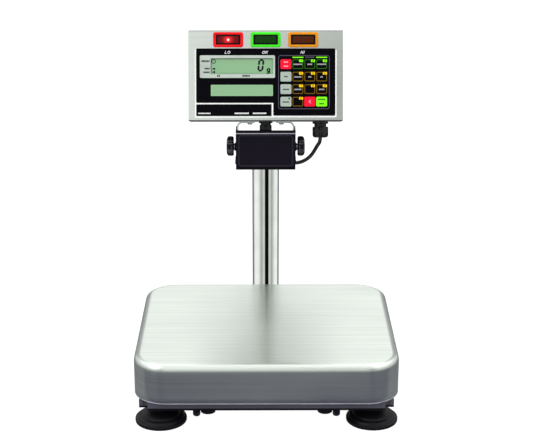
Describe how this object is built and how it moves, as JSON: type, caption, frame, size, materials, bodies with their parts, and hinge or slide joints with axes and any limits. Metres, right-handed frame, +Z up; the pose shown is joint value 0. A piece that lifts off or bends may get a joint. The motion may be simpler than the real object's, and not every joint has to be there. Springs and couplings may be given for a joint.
{
  "type": "bench scale",
  "caption": "Bench scale with a steel pan on a load cell base, a column at the back and a tilting indicator with lamps, displays and a keypad.",
  "frame": {"origin": "on the floor, under the middle of the bounding box", "axes": "+X to the right of a reader who stands in front, +Y to the back where the column stands, +Z up"},
  "size_m": [0.38, 0.3931, 0.5103],
  "materials": {
    "brushed_steel": "brushed across its width",
    "satin_steel": "fine satin",
    "polished_steel": "polished",
    "zinc_steel": "bright zinc",
    "black_screw": "black oxide",
    "aluminium": "machined",
    "grey_paint": "powder coat",
    "black_paint": "fine powder coat",
    "black_rubber": "moulded",
    "black_plastic": "moulded",
    "grey_plastic": "moulded",
    "cable_jacket": "smooth",
    "overlay_film": "semi-gloss film",
    "lcd_glass": "reflective display",
    "board_green": "solder mask",
    "vial_glass": "clear",
    "red_lens": "tinted lens",
    "green_lens": "tinted lens",
    "amber_lens": "tinted lens",
    "key_red": "film",
    "key_grey": "film",
    "key_green": "film",
    "key_black": "film"
  },
  "bodies": {
    "base": {"base_frame": "grey_paint", "load_cell": "aluminium", "cell_bolts_lower": "zinc_steel", "overload_stops": "black_rubber", "foot_lock_nuts": "zinc_steel", "level_housing": "black_plastic", "level_vial": "vial_glass", "column_bracket": "grey_paint", "column_screws": "zinc_steel", "pole": "polished_steel", "pole_head": "black_paint", "pole_head_screws": "black_screw", "load_cell_cable": "cable_jacket"},
    "weigh_platform": {"pan_support": "aluminium", "cell_spacer": "aluminium", "cell_bolts_upper": "zinc_steel", "support_pads": "black_rubber"},
    "pan": {"pan": "brushed_steel"},
    "indicator": {"tilt_arms": "satin_steel", "front_case": "satin_steel", "rear_cover": "satin_steel", "case_gasket": "black_rubber", "case_screws": "zinc_steel", "lamp_red": "red_lens", "lamp_green": "green_lens", "lamp_amber": "amber_lens", "overlay_panel": "overlay_film", "nameplate": "overlay_film", "display_bezel": "grey_plastic", "main_display": "lcd_glass", "sub_display": "lcd_glass", "circuit_board": "board_green", "cable_glands": "black_plastic", "gland_nuts": "black_plastic"},
    "knob_left": {"knob_left": "black_plastic"},
    "knob_right": {"knob_right": "black_plastic"},
    "foot_fl_stud": {"foot_stud_fl": "zinc_steel"},
    "foot_fl_pad": {"foot_pad_fl": "black_plastic"},
    "foot_fr_stud": {"foot_stud_fr": "zinc_steel"},
    "foot_fr_pad": {"foot_pad_fr": "black_plastic"},
    "foot_rl_stud": {"foot_stud_rl": "zinc_steel"},
    "foot_rl_pad": {"foot_pad_rl": "black_plastic"},
    "foot_rr_stud": {"foot_stud_rr": "zinc_steel"},
    "foot_rr_pad": {"foot_pad_rr": "black_plastic"},
    "key_a1": {"key_a1": "key_red"},
    "key_a2": {"key_a2": "key_black"},
    "key_a3": {"key_a3": "key_black"},
    "key_a4": {"key_a4": "key_black"},
    "key_b1": {"key_b1": "key_grey"},
    "key_b2": {"key_b2": "key_black"},
    "key_b3": {"key_b3": "key_black"},
    "key_b4": {"key_b4": "key_black"},
    "key_c1": {"key_c1": "key_grey"},
    "key_c2": {"key_c2": "key_black"},
    "key_c3": {"key_c3": "key_black"},
    "key_c4": {"key_c4": "key_black"},
    "key_d1": {"key_d1": "key_grey"},
    "key_d2": {"key_d2": "key_black"},
    "key_d3": {"key_d3": "key_red"},
    "key_d4": {"key_d4": "key_green"}
  },
  "joints": [
    {"name": "load_travel", "type": "slide", "parent": "base", "child": "weigh_platform", "axis": [0, 0, 1], "range_m": [-0.0008, 0], "stiffness_N_per_m": 600000, "deforming": ["load_cell"]},
    {"name": "pan_lift", "type": "slide", "parent": "weigh_platform", "child": "pan", "axis": [0, 0, 1], "range_m": [0, 0.1]},
    {"name": "indicator_tilt", "type": "hinge", "parent": "base", "child": "indicator", "pos_m": [0, 0.14953, 0.3231], "axis": [-1, 0, 0], "range_deg": [-10, 15], "deforming": ["load_cell_cable"]},
    {"name": "knob_left_turn", "type": "hinge", "parent": "base", "child": "knob_left", "pos_m": [-0.05, 0.14953, 0.3231], "axis": [-1, 0, 0], "range_deg": [0, 540]},
    {"name": "knob_right_turn", "type": "hinge", "parent": "base", "child": "knob_right", "pos_m": [0.05, 0.14953, 0.3231], "axis": [1, 0, 0], "range_deg": [0, 540]},
    {"name": "foot_fl_height", "type": "slide", "parent": "base", "child": "foot_fl_stud", "axis": [0, 0, -1], "range_m": [0, 0.0081]},
    {"name": "foot_fl_turn", "type": "hinge", "parent": "foot_fl_stud", "child": "foot_fl_pad", "pos_m": [-0.1525, -0.15647, 0.012], "axis": [0, 0, -1], "range_deg": [0, 1920]},
    {"name": "foot_fr_height", "type": "slide", "parent": "base", "child": "foot_fr_stud", "axis": [0, 0, -1], "range_m": [0, 0.0081]},
    {"name": "foot_fr_turn", "type": "hinge", "parent": "foot_fr_stud", "child": "foot_fr_pad", "pos_m": [0.1525, -0.15647, 0.012], "axis": [0, 0, -1], "range_deg": [0, 1920]},
    {"name": "foot_rl_height", "type": "slide", "parent": "base", "child": "foot_rl_stud", "axis": [0, 0, -1], "range_m": [0, 0.0081]},
    {"name": "foot_rl_turn", "type": "hinge", "parent": "foot_rl_stud", "child": "foot_rl_pad", "pos_m": [-0.1525, 0.08353, 0.012], "axis": [0, 0, -1], "range_deg": [0, 1920]},
    {"name": "foot_rr_height", "type": "slide", "parent": "base", "child": "foot_rr_stud", "axis": [0, 0, -1], "range_m": [0, 0.0081]},
    {"name": "foot_rr_turn", "type": "hinge", "parent": "foot_rr_stud", "child": "foot_rr_pad", "pos_m": [0.1525, 0.08353, 0.012], "axis": [0, 0, -1], "range_deg": [0, 1920]},
    {"name": "key_a1_press", "type": "slide", "parent": "indicator", "child": "key_a1", "axis": [0, 0.9613, -0.2756], "range_m": [0, 0.0005], "stiffness_N_per_m": 4000},
    {"name": "key_a2_press", "type": "slide", "parent": "indicator", "child": "key_a2", "axis": [0, 0.9613, -0.2756], "range_m": [0, 0.0005], "stiffness_N_per_m": 4000},
    {"name": "key_a3_press", "type": "slide", "parent": "indicator", "child": "key_a3", "axis": [0, 0.9613, -0.2756], "range_m": [0, 0.0005], "stiffness_N_per_m": 4000},
    {"name": "key_a4_press", "type": "slide", "parent": "indicator", "child": "key_a4", "axis": [0, 0.9613, -0.2756], "range_m": [0, 0.0005], "stiffness_N_per_m": 4000},
    {"name": "key_b1_press", "type": "slide", "parent": "indicator", "child": "key_b1", "axis": [0, 0.9613, -0.2756], "range_m": [0, 0.0005], "stiffness_N_per_m": 4000},
    {"name": "key_b2_press", "type": "slide", "parent": "indicator", "child": "key_b2", "axis": [0, 0.9613, -0.2756], "range_m": [0, 0.0005], "stiffness_N_per_m": 4000},
    {"name": "key_b3_press", "type": "slide", "parent": "indicator", "child": "key_b3", "axis": [0, 0.9613, -0.2756], "range_m": [0, 0.0005], "stiffness_N_per_m": 4000},
    {"name": "key_b4_press", "type": "slide", "parent": "indicator", "child": "key_b4", "axis": [0, 0.9613, -0.2756], "range_m": [0, 0.0005], "stiffness_N_per_m": 4000},
    {"name": "key_c1_press", "type": "slide", "parent": "indicator", "child": "key_c1", "axis": [0, 0.9613, -0.2756], "range_m": [0, 0.0005], "stiffness_N_per_m": 4000},
    {"name": "key_c2_press", "type": "slide", "parent": "indicator", "child": "key_c2", "axis": [0, 0.9613, -0.2756], "range_m": [0, 0.0005], "stiffness_N_per_m": 4000},
    {"name": "key_c3_press", "type": "slide", "parent": "indicator", "child": "key_c3", "axis": [0, 0.9613, -0.2756], "range_m": [0, 0.0005], "stiffness_N_per_m": 4000},
    {"name": "key_c4_press", "type": "slide", "parent": "indicator", "child": "key_c4", "axis": [0, 0.9613, -0.2756], "range_m": [0, 0.0005], "stiffness_N_per_m": 4000},
    {"name": "key_d1_press", "type": "slide", "parent": "indicator", "child": "key_d1", "axis": [0, 0.9613, -0.2756], "range_m": [0, 0.0005], "stiffness_N_per_m": 4000},
    {"name": "key_d2_press", "type": "slide", "parent": "indicator", "child": "key_d2", "axis": [0, 0.9613, -0.2756], "range_m": [0, 0.0005], "stiffness_N_per_m": 4000},
    {"name": "key_d3_press", "type": "slide", "parent": "indicator", "child": "key_d3", "axis": [0, 0.9613, -0.2756], "range_m": [0, 0.0005], "stiffness_N_per_m": 4000},
    {"name": "key_d4_press", "type": "slide", "parent": "indicator", "child": "key_d4", "axis": [0, 0.9613, -0.2756], "range_m": [0, 0.0005], "stiffness_N_per_m": 4000}
  ],
  "couplings": [
    {"joint": "foot_fl_height", "follows": "foot_fl_turn", "m_per_rad": 0.00023873},
    {"joint": "foot_fr_height", "follows": "foot_fr_turn", "m_per_rad": 0.00023873},
    {"joint": "foot_rl_height", "follows": "foot_rl_turn", "m_per_rad": 0.00023873},
    {"joint": "foot_rr_height", "follows": "foot_rr_turn", "m_per_rad": 0.00023873}
  ]
}
